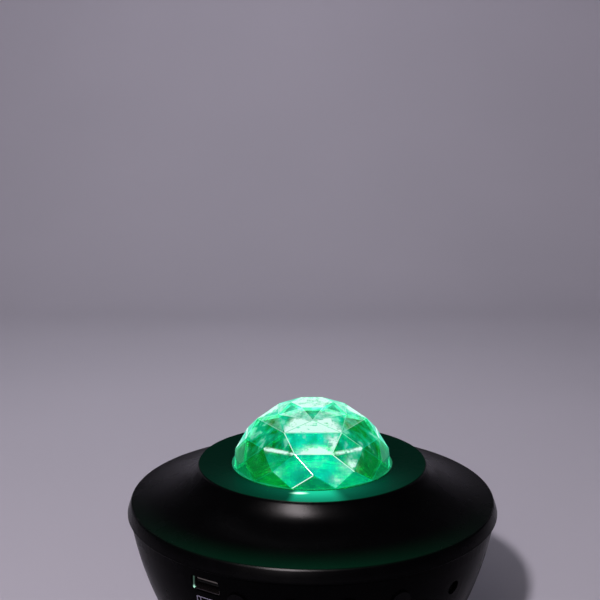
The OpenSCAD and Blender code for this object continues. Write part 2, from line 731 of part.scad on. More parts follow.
module heat_sink() {
  fin_t = 1.2;
  fin_pitch = 4;
  fins = floor((sink_r - 3) / fin_pitch);
  fin_z = tray_z - sink_t - fin_h;
  color([0.7, 0.71, 0.73]) difference() {
    union() {
      translate([0, 0, tray_z - sink_t]) cylinder(h = sink_t, r = sink_r);
      intersection() {
        for (i = [-fins:fins]) translate([i * fin_pitch, 0, fin_z]) slab(fin_t, 2 * sink_r, fin_h + touch);
        translate([0, 0, fin_z - 1]) cylinder(h = fin_h + 2, r = sink_r - 0.5);
      }
    }
    translate([0, 0, fin_z - 1]) cylinder(h = fin_h + sink_t + 2, r = barrel_r + fit);
    translate([0, 0, fin_z - 1]) cylinder(h = fin_h + 1, r = barrel_r + 2.5);
    for (b = sink_bearings) at(b, sink_screw_r, fin_z - 1) {
      rod(fin_h + 1, shank_r * head_share + 0.8);
      rod(fin_h + sink_t + 2, pass_r);
    }
  }
}

module heat_sink_screws() {
  color([0.6, 0.6, 0.62]) for (b = sink_bearings)
    at(b, sink_screw_r, tray_z - sink_t) screw(sink_t + tray_t - 0.4);
}

module led_board() {
  color([0.9, 0.9, 0.9]) ring(led_board_r, barrel_r + fit, tray_z, led_board_t);
}

module led_emitters() {
  color([0.95, 0.95, 0.8]) for (k = [0:lamp_count - 1]) at(k * 360 / lamp_count, led_ring_r, led_top_z) {
    slab(led_w, led_w, led_h);
    translate([0, 0, led_h - touch]) intersection() {
      translate([0, 0, -0.4]) sphere(r = led_lens_r, $fn = 32);
      rod(2, led_lens_r);
    }
  }
}

module reflector_cups() {
  h = reflector_top_z - led_top_z;
  color([0.93, 0.93, 0.93]) difference() {
    ring(led_board_r - 0.2, tower_r + shoulder_w + fit, led_top_z, h);
    for (k = [0:lamp_count - 1]) at(k * 360 / lamp_count, led_ring_r, led_top_z - touch)
      cylinder(h = h + 2 * touch, r1 = cup_foot_r, r2 = cup_top_r, $fn = 48);
  }
}

module laser_tower() {
  color([0.12, 0.12, 0.13]) difference() {
    union() {
      translate([0, 0, led_top_z]) cylinder(h = shoulder_z - led_top_z, r = tower_r + shoulder_w);
      translate([0, 0, led_top_z]) cylinder(h = tower_top_z - led_top_z, r = tower_r);
    }
    translate([0, 0, led_top_z - 1]) cylinder(h = tower_top_z - led_top_z + 2, r = barrel_r + fit);
  }
}

module laser_barrel() {
  groove_pitch = 2;
  color([0.75, 0.58, 0.25]) difference() {
    translate([0, 0, barrel_top_z - barrel_l]) cylinder(h = barrel_l, r = barrel_r);
    translate([0, 0, barrel_top_z - nose_d]) cylinder(h = nose_d + 1, r = nose_r);
    for (i = [1:3]) ring(barrel_r + 1, barrel_r - 0.5, barrel_top_z - barrel_l + groove_pitch * i, 0.8);
  }
}

module laser_lens() {
  lens_edge = 1.2;
  bulge = 0.8;
  r = nose_r - running;
  ball_r = (r * r + bulge * bulge) / (2 * bulge);
  color([0.8, 0.9, 1, 0.6]) translate([0, 0, barrel_top_z - nose_d]) {
    cylinder(h = lens_edge, r = r);
    translate([0, 0, lens_edge - touch]) intersection() {
      translate([0, 0, bulge - ball_r]) sphere(r = ball_r);
      cylinder(h = 2, r = r);
    }
  }
}

module star_grating() {
  color([0.8, 0.85, 0.9, 0.6]) translate([0, 0, tower_top_z]) cylinder(h = grating_t, r = grating_r);
}

module grating_cap() {
  window_r = 4;
  color([0.1, 0.1, 0.11]) translate([0, 0, tower_top_z]) difference() {
    rotate_extrude() polygon([
      [window_r, 0], [tower_r + shoulder_w, 0], [tower_r + shoulder_w, cap_t - 0.8],
      [tower_r + shoulder_w - 0.8, cap_t], [window_r + 0.8, cap_t], [window_r, cap_t - 0.8]
    ]);
    translate([0, 0, -1]) cylinder(h = 1 + grating_t, r = grating_r + 0.05);
  }
}

module thrust_washer() {
  color([0.85, 0.82, 0.7]) ring(tower_r + shoulder_w, tower_r + fit, shoulder_z, washer_t);
}

// ---- turning lens and its drive

module ring_gear() {
  color([0.9, 0.9, 0.88]) difference() {
    translate([0, 0, ring_z]) gear(slow_module, ring_teeth, gear_w);
    translate([0, 0, lens_z]) cylinder(h = gear_w, r = lens_r);
    translate([0, 0, ring_z - 1]) cylinder(h = gear_w, r = lens_r - lens_seat);
  }
}

// Clear disc with a hub. Rings of shallow round bumps on its top bend the light into ripples.
module ripple_lens() {
  bump_h = 0.7;
  bump_r = 2.9;
  ball_r = (bump_r * bump_r + bump_h * bump_h) / (2 * bump_h);
  hub_r = tower_r + hub_w;
  outer_ring = lens_r - 3.6;
  inner_ring = hub_r + 3.4;
  top_z = lens_z + lens_t;
  color([0.85, 0.95, 0.95, 0.5]) difference() {
    union() {
      translate([0, 0, lens_z]) cylinder(h = lens_t, r = lens_r);
      translate([0, 0, ring_z]) cylinder(h = gear_w, r = hub_r);
      for (row = [[outer_ring, 20, 0], [inner_ring, 12, 15]], k = [1:row[1]]) {
        a = row[2] + k * 360 / row[1];
        translate([row[0] * cos(a), row[0] * sin(a), top_z - touch]) intersection() {
          translate([0, 0, bump_h - ball_r]) sphere(r = ball_r, $fn = 48);
          rod(1, bump_r);
        }
      }
    }
    translate([0, 0, ring_z - 1]) cylinder(h = gear_w + 2, r = tower_r + running);
  }
}

module idler_gear() {
  neck_r = slow_module * idler_small_teeth / 2 - 1;
  root_r = fast_module * (idler_large_teeth / 2 - 1.25);
  web_r = (neck_r + root_r) / 2;
  web_hole_r = (root_r - neck_r) / 4;
  color([0.95, 0.93, 0.85]) at_idler(0) difference() {
    union() {
      translate([0, 0, fast_z]) gear(fast_module, idler_large_teeth, fast_w, idler_turn);
      translate([0, 0, fast_z]) cylinder(h = ring_z - fast_z + touch, r = neck_r);
      translate([0, 0, ring_z]) gear(slow_module, idler_small_teeth, gear_w, idler_turn);
    }
    translate([0, 0, fast_z - 1]) {
      rod(ring_top_z - fast_z + 2, pin_r + running);
      for (k = [0:5]) rotate([0, 0, k * 60]) translate([web_r, 0, 0]) rod(fast_w + 2, web_hole_r);
    }
  }
}

module idler_pin() {
  color([0.7, 0.7, 0.72]) at_idler(tray_z) rod(shield_z - tray_z + shield_t / 2 - fit, pin_r);
}

module motor_can() {
  color([0.72, 0.73, 0.75]) at_motor(motor_z) difference() {
    cylinder(h = motor_l, r = motor_r);
    translate([0, 0, -1]) cylinder(h = motor_l + 1 - can_front_t, r = motor_r - can_t);
    cylinder(h = motor_l + 1, r = bush_r);
    for (s = [-1, 1]) translate([0, s * motor_screw_r, motor_l - can_front_t - 1])
      rod(can_front_t + 2, small_pilot_r);
  }
}

// Moulded cap with a boss for the shaft's end and slots for the two brush terminals
module motor_end_cap() {
  color([0.15, 0.3, 0.6]) at_motor(motor_z) difference() {
    union() {
      cylinder(h = end_cap_t, r = motor_r - can_t - running);
      translate([0, 0, -end_boss_h]) cylinder(h = end_boss_h + 1, r = bush_r);
    }
    translate([0, 0, -end_boss_h / 2]) rod(end_cap_t + end_boss_h, shaft_r + running);
    for (s = [-1, 1]) translate([0, s * motor_screw_r, -1]) slab(3, 1, end_cap_t + 2);
  }
}

module motor_bush() {
  color([0.7, 0.55, 0.3]) at_motor(0) ring(bush_r, shaft_r + running, tray_z - 2, 3.6);
}

module motor_magnets() {
  out_r = motor_r - can_t - running;
  color([0.2, 0.2, 0.21]) at_motor(core_z - 1) difference() {
    ring(out_r, out_r - magnet_t, 0, core_h + 2);
    translate([0, 0, -1]) slab(2 * motor_r, 5, core_h + 4);
  }
}

// Three-pole core with its commutator below
module motor_armature() {
  commutator_h = 2.4;
  color([0.5, 0.45, 0.42]) at_motor(core_z) {
    difference() {
      cylinder(h = core_h, r = core_r);
      for (k = [0:2]) rotate([0, 0, k * 120]) {
        translate([core_r - 0.7, 0, -1]) slab(4, 1.2, core_h + 2);
        translate([core_r * 0.62, 0, -1]) rod(core_h + 2, core_r * 0.22);
      }
      translate([0, 0, -1]) rod(core_h + 2, shaft_r);
    }
    ring(2.4, shaft_r, -commutator_h, commutator_h + touch);
  }
}

module motor_shaft() {
  foot_z = motor_z - end_boss_h / 2 + clear;
  color([0.7, 0.7, 0.72]) at_motor(foot_z) rod(ring_z - 0.6 - foot_z, shaft_r);
}

module motor_pinion() {
  color([0.75, 0.6, 0.3]) at_motor(fast_z - 0.2) difference() {
    gear(fast_module, pinion_teeth, fast_w + 0.4, pinion_turn - motor_dir);
    translate([0, 0, -1]) rod(fast_w + 3, shaft_r);
  }
}

module motor_screws() {
  color([0.6, 0.6, 0.62]) at_motor(tray_top_z) for (s = [-1, 1])
    translate([0, s * motor_screw_r, 0]) mirror([0, 0, 1]) screw(tray_t + can_front_t + 0.4, small_shank_r);
}

// ---- board, switches and sockets

module main_board() {
  span = board_to - board_from;
  in_r = board_out_r - board_w;
  edge = concat(arc([0, 0], board_out_r, 0, span, 28), arc([0, 0], in_r, span, 0, 28));
  color([0.05, 0.35, 0.15]) difference() {
    translate([0, 0, board_z]) rotate([0, 0, board_from - 90]) linear_extrude(board_t) polygon(edge);
    for (b = board_screw_bearings) at(b, board_screw_r, board_z - 1) rod(board_t + 2, pass_r);
  }
}

module board_screws() {
  color([0.6, 0.6, 0.62]) for (b = board_screw_bearings)
    at(b, board_screw_r, board_top_z) mirror([0, 0, 1]) screw(board_t + bite);
}

// Open-topped header that a plug of wires pushes into
module wire_header() {
  header = [7, 4, 5];
  header_wall = 0.8;
  difference() {
    slab(header[0], header[1], header[2]);
    translate([0, 0, 1]) slab(header[0] - 2 * header_wall, header[1] - 2 * header_wall, header[2]);
    translate([0, header[1] / 2, 1.5]) slab(header[0] / 3, header[1], header[2]);
  }
}

// Three chips, a coil and three capacitors in one row, and the headers of the wires along the inner edge
module board_components() {
  row_r = board_out_r - 0.7 * board_w;
  controller = [9, 9, 1.2];
  amplifier = [6, 5, 1.5];
  radio = [11, 13, 2];
  coil = [7, 7, 3.2];
  blocks = [[-20, coil], [-9, amplifier], [6, controller], [20, radio]];
  capacitor_bearings = [board_from + 5, board_from + 14, board_to - 4];
  header_bearings = [-24, -14, -4];
  capacitor_h = 6;
  capacitor_r = 3;
  color([0.08, 0.08, 0.09]) {
    for (b = blocks) at(b[0], row_r, board_top_z) slab(b[1][0], b[1][1], b[1][2]);
    for (b = capacitor_bearings) at(b, row_r, board_top_z) rod(capacitor_h, capacitor_r);
    for (b = header_bearings) at(b, board_out_r - board_w + 2.6, board_top_z) wire_header();
  }
}

module tact_switches() {
  color([0.12, 0.12, 0.13]) for (b = button_bearings) at(b, switch_front_r, board_top_z) difference() {
    translate([0, switch_d / 2, 0]) slab(switch_w, switch_d, switch_h);
    translate([0, plunger_in + button_travel + clear, plunger_z - board_top_z])
      outward() rod(switch_d, plunger_r + running);
  }
}

// Round key whose face follows the bowl's side, with a flange behind the wall and a stem to its switch
module button(bearing) {
  rotate([0, 0, bearing]) {
    intersection() {
      translate([0, -flange_back_r, button_z]) outward() cylinder(h = rim_r - flange_back_r, r = button_r);
      within_bowl(button_proud, plate_top_z);
    }
    translate([0, -flange_back_r, button_z]) outward() cylinder(h = button_flange_t, r = button_flange_r);
    translate([0, -flange_back_r + stem_l, plunger_z]) outward() rod(stem_l + touch, stem_r);
  }
}

module plunger(bearing) {
  color([0.9, 0.88, 0.8]) at(bearing, switch_front_r - plunger_in, plunger_z)
    outward() rod(plunger_in + plunger_out, plunger_r);
}

module power_plunger() {
  plunger(button_bearings[0]);
}

module colour_plunger() {
  plunger(button_bearings[1]);
}

module star_plunger() {
  plunger(button_bearings[2]);
}

module music_plunger() {
  plunger(button_bearings[3]);
}

module power_button() {
  color([0.05, 0.05, 0.055]) button(button_bearings[0]);
}

module colour_button() {
  color([0.05, 0.05, 0.055]) button(button_bearings[1]);
}

module star_button() {
  color([0.05, 0.05, 0.055]) button(button_bearings[2]);
}

module music_button() {
  color([0.05, 0.05, 0.055]) button(button_bearings[3]);
}

module usb_shell() {
  in_w = usb_w - 2 * usb_metal;
  in_h = usb_h - 2 * usb_metal;
  color([0.8, 0.81, 0.83]) at(usb_bearing, usb_front_r - usb_l, usb_z) outward() difference() {
    linear_extrude(usb_l) round_rect(usb_w, usb_h, 0.7);
    translate([0, 0, -1]) linear_extrude(usb_l + 2) round_rect(in_w, in_h, 0.4);
  }
}

module usb_tongue() {
  in_w = usb_w - 2 * usb_metal;
  in_h = usb_h - 2 * usb_metal;
  color([0.93, 0.93, 0.93]) at(usb_bearing, usb_front_r - usb_l, usb_z) outward() {
    linear_extrude(tongue_back) round_rect(in_w - running, in_h - running, 0.4);
    translate([0, tongue_rise, tongue_back - touch]) slab(in_w - 1.2, tongue_t, tongue_l);
  }
}

// Four flat springs under the tongue
module usb_contacts() {
  color([0.85, 0.68, 0.3]) at(usb_bearing, usb_front_r - usb_l, usb_z) outward()
    for (x = [-3.5, -1, 1, 3.5]) translate([x, tongue_rise - tongue_t / 2 - contact_t / 2, tongue_back])
      slab(1, contact_t, tongue_l - 1);
}

module dc_jack_body() {
  color([0.06, 0.06, 0.065]) at(dc_bearing, dc_front_r - dc_l, dc_z) outward() difference() {
    cylinder(h = dc_l, r = dc_body_r);
    translate([0, 0, dc_back_t]) cylinder(h = dc_l, r = dc_bore_r);
    translate([0, 0, -1]) rod(dc_l, dc_pin_r);
  }
}

// Centre pin and the three solder lugs behind the body
module dc_jack_contacts() {
  lug_l = 3;
  color([0.82, 0.83, 0.85]) at(dc_bearing, dc_front_r - dc_l, dc_z) outward() {
    translate([0, 0, -lug_l]) rod(dc_l - 2 + lug_l, dc_pin_r);
    for (a = [0, 120, 240]) rotate([0, 0, a]) translate([0, 2.6, -lug_l]) slab(2, 0.5, lug_l);
  }
}

// ---- speaker

// Flange on the base plate, four ribs that rise inwards, and a seat for the magnet's front plate
module speaker_basket() {
  seat_z = basket_top_z - magnet_plate_t;
  wall_foot_r = speaker_hole_r + 0.9;
  upright = 2;                // height of the frame's side before it slopes in
  color([0.3, 0.3, 0.32]) difference() {
    union() {
      ring(speaker_r, speaker_hole_r, plate_top_z, speaker_flange_t);
      rotate_extrude() polygon([
        [wall_foot_r, cone_z - touch], [wall_foot_r + basket_t, cone_z - touch],
        [wall_foot_r + basket_t, cone_z + upright], [magnet_r + basket_t, seat_z + touch],
        [magnet_r, seat_z + touch], [wall_foot_r, cone_z + upright]
      ]);
      ring(magnet_r + basket_t, magnet_r - 2, seat_z, basket_t);
    }
    for (a = [0, 90, 180, 270]) rotate([0, 0, a]) translate([0, -speaker_r, cone_z + 1])
      slab(magnet_r, speaker_r, speaker_d - speaker_flange_t - magnet_plate_t - 2);
    for (b = base_screw_bearings) at(b, speaker_screw_r, plate_top_z - 1)
      rod(speaker_flange_t + 2, small_shank_r + fit);
  }
}

// Front plate, ring magnet, back plate and pole, with a round gap for the voice coil
module speaker_magnet() {
  front_z = basket_top_z - magnet_plate_t + basket_t;
  gap_in = coil_r - coil_t - coil_gap;
  gap_out = coil_r + coil_gap;
  back_z = front_z + magnet_plate_t + magnet_h;
  color([0.18, 0.18, 0.2]) {
    ring(magnet_r, gap_out, front_z, magnet_plate_t);
    ring(magnet_r - 1, gap_out + 1.5, front_z + magnet_plate_t - touch, magnet_h + 2 * touch);
    translate([0, 0, back_z]) cylinder(h = magnet_plate_t, r = magnet_r);
    translate([0, 0, front_z]) cylinder(h = back_z - front_z + touch, r = gap_in);
  }
}

// Cone, dust cap and the voice coil's former, in one piece
module speaker_cone() {
  coil_top_z = basket_top_z + basket_t + 0.8;
  rim_z = cone_z + cone_lift;
  dust_h = 1.6;
  dust_t = 0.6;
  dust_r = coil_r - coil_t / 2;
  ball_r = (dust_r * dust_r + dust_h * dust_h) / (2 * dust_h);
  ball_c = [0, cone_neck_z + ball_r - dust_h + dust_t];
  dust_deg = asin(dust_r / ball_r);
  color([0.12, 0.12, 0.13]) rotate_extrude() {
    polygon([
      [cone_r, rim_z], [cone_r, rim_z + cone_t], [cone_r - 1, rim_z + cone_t],
      [coil_r, cone_neck_z + cone_t], [coil_r, coil_top_z], [coil_r - coil_t, coil_top_z],
      [coil_r - coil_t, cone_neck_z], [coil_r, cone_neck_z], [cone_r - 1, rim_z]
    ]);
    polygon(concat(
      arc(ball_c, ball_r, -90, dust_deg - 90, 8),
      arc(ball_c, ball_r - dust_t, dust_deg - 90, -90, 8)
    ));
  }
}

// Half-roll of foam between the cone's edge and the frame, glued to the frame's flange
module speaker_surround() {
  seat_z = cone_z + running;
  roll_z = seat_z + surround_t;
  in_r = cone_r + 0.05;
  lip_r = speaker_hole_r + 0.8;
  roll_r = (speaker_hole_r - in_r) / 2;
  hollow_r = roll_r - surround_t;
  mid_r = in_r + roll_r;
  color([0.07, 0.07, 0.07]) rotate_extrude() polygon(concat(
    [[lip_r, seat_z], [lip_r, roll_z]],
    arc([mid_r, roll_z], roll_r, 0, 180, 10),
    [[in_r, seat_z], [mid_r - hollow_r, seat_z]],
    arc([mid_r, roll_z], hollow_r, 180, 0, 8),
    [[mid_r + hollow_r, seat_z]]
  ));
}

module speaker_screws() {
  color([0.6, 0.6, 0.62]) for (b = base_screw_bearings)
    at(b, speaker_screw_r, cone_z) mirror([0, 0, 1]) screw(speaker_flange_t + speaker_bite, small_shank_r);
}

crystal_dome();
top_cover();
bowl_housing();
base_plate();
rubber_feet();
base_screws();
cover_screws();
dome_clamp();
clamp_screws();
lamp_tray();
tray_screws();
heat_sink();
heat_sink_screws();
led_board();
led_emitters();
reflector_cups();
laser_tower();
laser_barrel();
laser_lens();
star_grating();
grating_cap();
thrust_washer();
ring_gear();
ripple_lens();
idler_gear();
idler_pin();
motor_can();
motor_end_cap();
motor_bush();
motor_magnets();
motor_armature();
motor_shaft();
motor_pinion();
motor_screws();
main_board();
board_components();
board_screws();
tact_switches();
power_button();
colour_button();
star_button();
music_button();
power_plunger();
colour_plunger();
star_plunger();
music_plunger();
usb_shell();
usb_tongue();
usb_contacts();
dc_jack_body();
dc_jack_contacts();
speaker_basket();
speaker_magnet();
speaker_cone();
speaker_surround();
speaker_screws();
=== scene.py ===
import json
from math import atan2, cos, degrees, exp, radians, sin

import bmesh
import bpy
from mathutils import Matrix, Vector
from mathutils.bvhtree import BVHTree


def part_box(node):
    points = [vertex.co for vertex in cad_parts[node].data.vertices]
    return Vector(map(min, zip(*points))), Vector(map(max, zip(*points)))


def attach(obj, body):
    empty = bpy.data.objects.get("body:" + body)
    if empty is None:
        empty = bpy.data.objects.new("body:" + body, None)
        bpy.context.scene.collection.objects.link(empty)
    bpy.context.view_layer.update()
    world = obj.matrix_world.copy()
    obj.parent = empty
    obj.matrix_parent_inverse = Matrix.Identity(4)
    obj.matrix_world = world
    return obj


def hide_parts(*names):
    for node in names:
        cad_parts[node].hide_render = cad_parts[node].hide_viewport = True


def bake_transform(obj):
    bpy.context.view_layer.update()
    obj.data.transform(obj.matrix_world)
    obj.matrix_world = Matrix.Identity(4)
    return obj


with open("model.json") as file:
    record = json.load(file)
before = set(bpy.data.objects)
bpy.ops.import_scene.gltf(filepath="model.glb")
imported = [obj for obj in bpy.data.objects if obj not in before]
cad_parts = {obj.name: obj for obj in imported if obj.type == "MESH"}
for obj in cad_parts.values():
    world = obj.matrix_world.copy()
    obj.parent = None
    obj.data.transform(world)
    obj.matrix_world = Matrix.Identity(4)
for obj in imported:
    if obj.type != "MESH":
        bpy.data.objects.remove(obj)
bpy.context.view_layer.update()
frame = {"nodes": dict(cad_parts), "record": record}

MM = 0.001

# ---- the object's measures. A bearing is an angle round the object, from the front (-Y) towards +X

COVER_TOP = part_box("top_cover")[1].z
DOME_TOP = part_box("crystal_dome")[1].z
COLLAR_FOOT = COVER_TOP - 0.8 * MM    # height of the collar's inner edge, where the dome comes out of it
COLLAR_R = 51 * MM                    # radius of the collar's outer edge
FLAT_IN, FLAT_OUT = 67 * MM, 81 * MM  # radii of the cover's flat, between the slope and the rim
FLAT_FOOT = 72.5 * MM                 # height of the flat's outer edge
RIM_R = 82.5 * MM
SOCKET_LEFT = -35.5                   # bearing of the USB shell's left-hand edge
SOCKET_FRONT = -64 * MM               # y of the front of that edge
SOCKET_LOW = 62.6 * MM                # height of its lower end
TONGUE_TOP = 67 * MM                  # height of the top of the USB socket's tongue
BOWL_R = 79 * MM                      # the bowl's radius under that socket


# ---- shader nodes

def new_material(name):
    material = bpy.data.materials.new(name)
    material.use_nodes = True
    material.node_tree.nodes.clear()
    return material, material.node_tree


def node(tree, kind, inputs=None, **settings):
    """Adds a shader node. An input's value is a number, a colour or another node's output."""
    made = tree.nodes.new("ShaderNode" + kind)
    for key, value in settings.items():
        setattr(made, key, value)
    for key, value in (inputs or {}).items():
        if isinstance(value, bpy.types.NodeSocket):
            tree.links.new(value, made.inputs[key])
        else:
            made.inputs[key].default_value = value
    return made


def finished(material, inputs):
    """Ends a material with a Principled shader."""
    tree = material.node_tree
    shader = node(tree, "BsdfPrincipled", inputs)
    node(tree, "OutputMaterial", {"Surface": shader.outputs[0]})
    return material


def object_place(tree, stretch=None):
    """Where a point lies on the object, in metres, or stretched to draw noise out into streaks."""
    place = node(tree, "TexCoord").outputs["Object"]
    if stretch is None:
        return place
    return node(tree, "Mapping", {"Vector": place, "Scale": stretch}).outputs["Vector"]


def axes(tree, place):
    return node(tree, "SeparateXYZ", {"Vector": place}).outputs


def noise(tree, place, size, detail=2.0, roughness=0.5):
    """Noise whose blotches are about size metres wide."""
    settings = {"Vector": place, "Scale": 1 / size, "Detail": detail, "Roughness": roughness}
    return node(tree, "TexNoise", settings).outputs["Fac"]


def cells(tree, place, size, feature="F1"):
    """How far a point lies from the middle of its cell, for cells about size metres wide."""
    made = node(tree, "TexVoronoi", {"Vector": place, "Scale": 1 / size}, feature=feature)
    return made.outputs["Distance"]


def math(tree, operation, first, second=0.0, clamp=False):
    """One sum on numbers or outputs."""
    return node(tree, "Math", {0: first, 1: second}, operation=operation, use_clamp=clamp).outputs[0]


def product(tree, first, *others):
    """Numbers or outputs multiplied, from left to right."""
    for other in others:
        first = math(tree, "MULTIPLY", first, other)
    return first


def mapped(tree, value, start, end, low, high, curve):
    """Maps the span from start to end to the span from low to high."""
    span = {"Value": value, "From Min": start, "From Max": end, "To Min": low, "To Max": high}
    return node(tree, "MapRange", span, interpolation_type=curve).outputs["Result"]


def spread(tree, value, low, high, start=0.3, end=0.7):
    """Maps the middle of a noise to the span from low to high."""
    return mapped(tree, value, start, end, low, high, "LINEAR")


def ramp(tree, value, start, end, low=1.0, high=0.0):
    """A smooth change from low to high as a value goes from start to end."""
    return mapped(tree, value, start, end, low, high, "SMOOTHSTEP")


def bearing_at(tree, x, y):
    return math(tree, "ARCTAN2", x, math(tree, "MULTIPLY", y, -1.0))


def lobe(tree, bearing, power, middle=0.0):
    """A share that is 1 at the bearing middle, in degrees, and falls to 0 on the far side."""
    wave = math(tree, "COSINE", math(tree, "SUBTRACT", bearing, radians(middle)))
    return math(tree, "POWER", math(tree, "MULTIPLY", math(tree, "ADD", wave, 1.0), 0.5), power)


def blended(tree, factor, first, second, blend_type="MIX"):
    """Mixes two colours, each a colour or an output."""
    inputs = {0: factor, 6: first, 7: second}
    return node(tree, "Mix", inputs, data_type="RGBA", blend_type=blend_type).outputs[2]


def scaled(color, share):
    return (*(c * share for c in color[:3]), 1.0)


def opaque(color):
    return scaled(color, 1.0)


def mottled(tree, value, color, dark=0.88, pale=1.12):
    """A colour that wanders with a noise between a darker and a paler shade of it."""
    return blended(tree, spread(tree, value, 0, 1), scaled(color, dark), scaled(color, pale))


def bump(tree, height, depth):
    return node(tree, "Bump", {"Height": height, "Distance": depth, "Strength": 1.0}).outputs["Normal"]


# ---- materials

GRAIN, GRAIN_DEPTH = 0.25 * MM, 0.012 * MM     # of moulded plastic
PATCHES = 14 * MM                              # size of the slow changes of its colour and gloss
MARKS = 0.3 * MM                               # size of the marks on bare metal


def moulded(name, color, roughness, grain=GRAIN, depth=GRAIN_DEPTH, wander=0.06, specular=0.5, coat=0.0):
    """Moulded plastic: a spark-eroded grain, a slow change of gloss and of colour."""
    material, tree = new_material(name)
    place = object_place(tree)
    fine = noise(tree, place, grain, detail=3)
    slow = noise(tree, place, PATCHES, detail=3)
    return finished(material, {
        "Base Color": mottled(tree, slow, color),
        "Roughness": spread(tree, slow, roughness - wander, roughness + wander),
        "Specular IOR Level": specular,
        "Coat Weight": coat,
        "Coat Roughness": 0.12,
        "Normal": bump(tree, fine, depth),
    })


# Colours of the light painted on the cover: the dome's green light and reflection, and a white glint
PAINTED_COLLAR_GREEN = (0.02, 1.0, 0.56, 1)
PAINTED_FLAT_GREEN = (0.0, 1.0, 0.42, 1)
PAINTED_GLINT_WHITE = (0.9, 1.0, 0.95, 1)
GLINT_AT = (-5.3 * MM, -39.5 * MM, COLLAR_FOOT)
GLINT_WIDE, GLINT_DEEP = 5 * MM, 2.2 * MM      # half its size across and towards the front


def painted_light_on_collar(tree, radius, bearing):
    """Painted light and reflection of the dome: a beam towards the front that fades outwards, over a faint
    painted light all round.
    """
    start = ramp(tree, bearing, radians(-13), radians(-8), 0.08, 1.0)
    stop = ramp(tree, bearing, radians(10), radians(19), 1.0, 0.2)
    beam = product(tree, start, stop, lobe(tree, bearing, 9.0), 0.62)
    wash = product(tree, lobe(tree, bearing, 6.0), 0.05)
    far = ramp(tree, radius, COLLAR_R - 15 * MM, COLLAR_R, 1.0, 0.4)
    return math(tree, "ADD", math(tree, "MULTIPLY", math(tree, "ADD", beam, wash), far), 0.011)


def painted_light_on_flat(tree, radius, bearing):
    """Painted light and reflection of the dome: a band in front that grows outwards and ends short of the
    rim's edge.
    """
    grows = ramp(tree, radius, FLAT_IN, RIM_R, 0.0, 1.0)
    ends = ramp(tree, radius, FLAT_OUT - 1.2 * MM, FLAT_OUT)
    return product(tree, grows, ends, product(tree, lobe(tree, bearing, 6.0, middle=-6), 0.0155))


def painted_glint(tree, place):
    """A painted glint: a white spot on the collar, in front of the dome."""
    off = node(tree, "VectorMath", {0: place, 1: GLINT_AT}, operation="SUBTRACT").outputs[0]
    shares = (1 / GLINT_WIDE, 1 / GLINT_DEEP, 0)
    off = node(tree, "VectorMath", {0: off, 1: shares}, operation="MULTIPLY").outputs[0]
    length = node(tree, "VectorMath", {0: off}, operation="LENGTH").outputs["Value"]
    return ramp(tree, length, 0.2, 1.0, 0.8, 0.0)


def cover_with_painted_light(name, color, roughness):
    """The housing's black, with the dome's green light and reflection painted on the collar and on the flat,
    and a painted glint.
    """
    material, tree = new_material(name)
    place = object_place(tree)
    x, y, z = axes(tree, place)
    radius = math(tree, "SQRT", math(tree, "ADD", product(tree, x, x), product(tree, y, y)))
    bearing = bearing_at(tree, x, y)
    on_collar = product(tree, ramp(tree, z, COLLAR_FOOT - 0.4 * MM, COLLAR_FOOT - 0.1 * MM, 0.0, 1.0),
                        ramp(tree, radius, COLLAR_R - 0.5 * MM, COLLAR_R))
    collar = product(tree, painted_light_on_collar(tree, radius, bearing), on_collar)
    flat = painted_light_on_flat(tree, radius, bearing)
    spot = painted_glint(tree, place)
    slow = noise(tree, place, PATCHES, detail=3)
    fine = noise(tree, place, 0.7 * MM, detail=4, roughness=0.7)
    gloss = product(tree, ramp(tree, on_collar, 0.0, 1.0, 0.032, 0.002), spread(tree, slow, 0.9, 1.1),
                    ramp(tree, z, FLAT_FOOT, FLAT_FOOT + 1.5 * MM, 0.15, 1.0))
    green = blended(tree, on_collar, PAINTED_FLAT_GREEN, PAINTED_COLLAR_GREEN)
    return finished(material, {
        "Base Color": mottled(tree, slow, color),
        "Roughness": spread(tree, slow, roughness - 0.02, roughness + 0.02),
        "Specular IOR Level": gloss,
        # Painted light, reflection and glint, as emission
        "Emission Color": blended(tree, spot, green, PAINTED_GLINT_WHITE),
        "Emission Strength": math(tree, "ADD", math(tree, "ADD", collar, flat), spot),
        "Normal": bump(tree, fine, GRAIN_DEPTH),
    })


def metal(name, color, roughness, streak=(1, 1, 1), depth=0.004 * MM, wander=0.08):
    """Bare metal: fine marks drawn out along a direction, with patches of duller metal."""
    material, tree = new_material(name)
    marks = noise(tree, object_place(tree, streak), MARKS, detail=4)
    slow = noise(tree, object_place(tree), 5 * MM, detail=3)
    return finished(material, {
        "Base Color": mottled(tree, slow, color, dark=0.85, pale=1.0),
        "Metallic": 1.0,
        "Roughness": spread(tree, marks, roughness - wander, roughness + wander),
        "Normal": bump(tree, marks, depth),
    })


def socket_metal_with_painted_glint(name, color, roughness):
    """Dark plated steel, with a green glint painted on the front of the socket's left-hand edge, brightest at
    its lower end.
    """
    material, tree = new_material(name)
    place = object_place(tree)
    marks = noise(tree, place, MARKS, detail=4)
    x, y, z = axes(tree, place)
    at_left = ramp(tree, bearing_at(tree, x, y), radians(SOCKET_LEFT - 0.2), radians(SOCKET_LEFT + 0.2))
    at_front = ramp(tree, y, SOCKET_FRONT + 0.3 * MM, SOCKET_FRONT - 0.3 * MM, 0.0, 1.0)
    light = ramp(tree, z, SOCKET_LOW, SOCKET_LOW + 1.8 * MM, 1.5, 0.08)
    return finished(material, {
        "Base Color": mottled(tree, marks, color, dark=0.85, pale=1.0),
        "Metallic": 1.0,
        "Roughness": spread(tree, marks, roughness - 0.08, roughness + 0.08),
        # The painted glint, as emission
        "Emission Color": (0.5, 1.0, 0.76, 1),
        "Emission Strength": product(tree, at_left, at_front, light),
        "Normal": bump(tree, marks, 0.002 * MM),
    })


